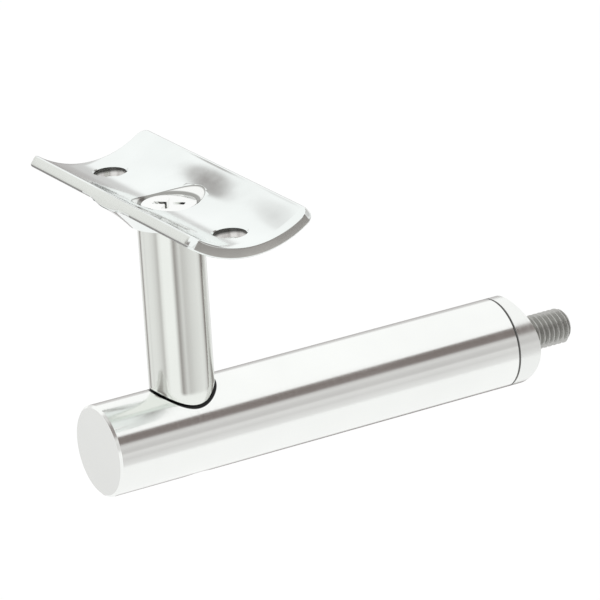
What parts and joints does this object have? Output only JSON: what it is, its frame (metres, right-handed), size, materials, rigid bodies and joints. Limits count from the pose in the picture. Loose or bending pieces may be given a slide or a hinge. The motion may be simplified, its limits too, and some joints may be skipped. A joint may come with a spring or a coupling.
{
  "type": "handrail bracket",
  "caption": "Handrail bracket: a round arm on a threaded stud carries a slim post and a curved saddle plate for a round rail.",
  "frame": {"origin": "on the arm's axis, at the bottom of the curved seat that meets the upright, where the threaded stud comes out", "axes": "+X along the threaded stud, away from the arm; +Y along the rail; +Z from the arm up to the rail"},
  "size_m": [0.1182, 0.07, 0.0656],
  "materials": {
    "saddle_steel": "polished",
    "bar_steel": "fine ground, satin",
    "ring_steel": "turned, satin",
    "stud_steel": "rolled thread, dull",
    "screw_steel": "bright"
  },
  "bodies": {
    "root": {"saddle_plate": "saddle_steel", "saddle_screw": "screw_steel", "post": "bar_steel", "post_screw": "screw_steel", "arm": "bar_steel", "adapter_ring": "ring_steel", "threaded_stud": "stud_steel"}
  },
  "joints": []
}
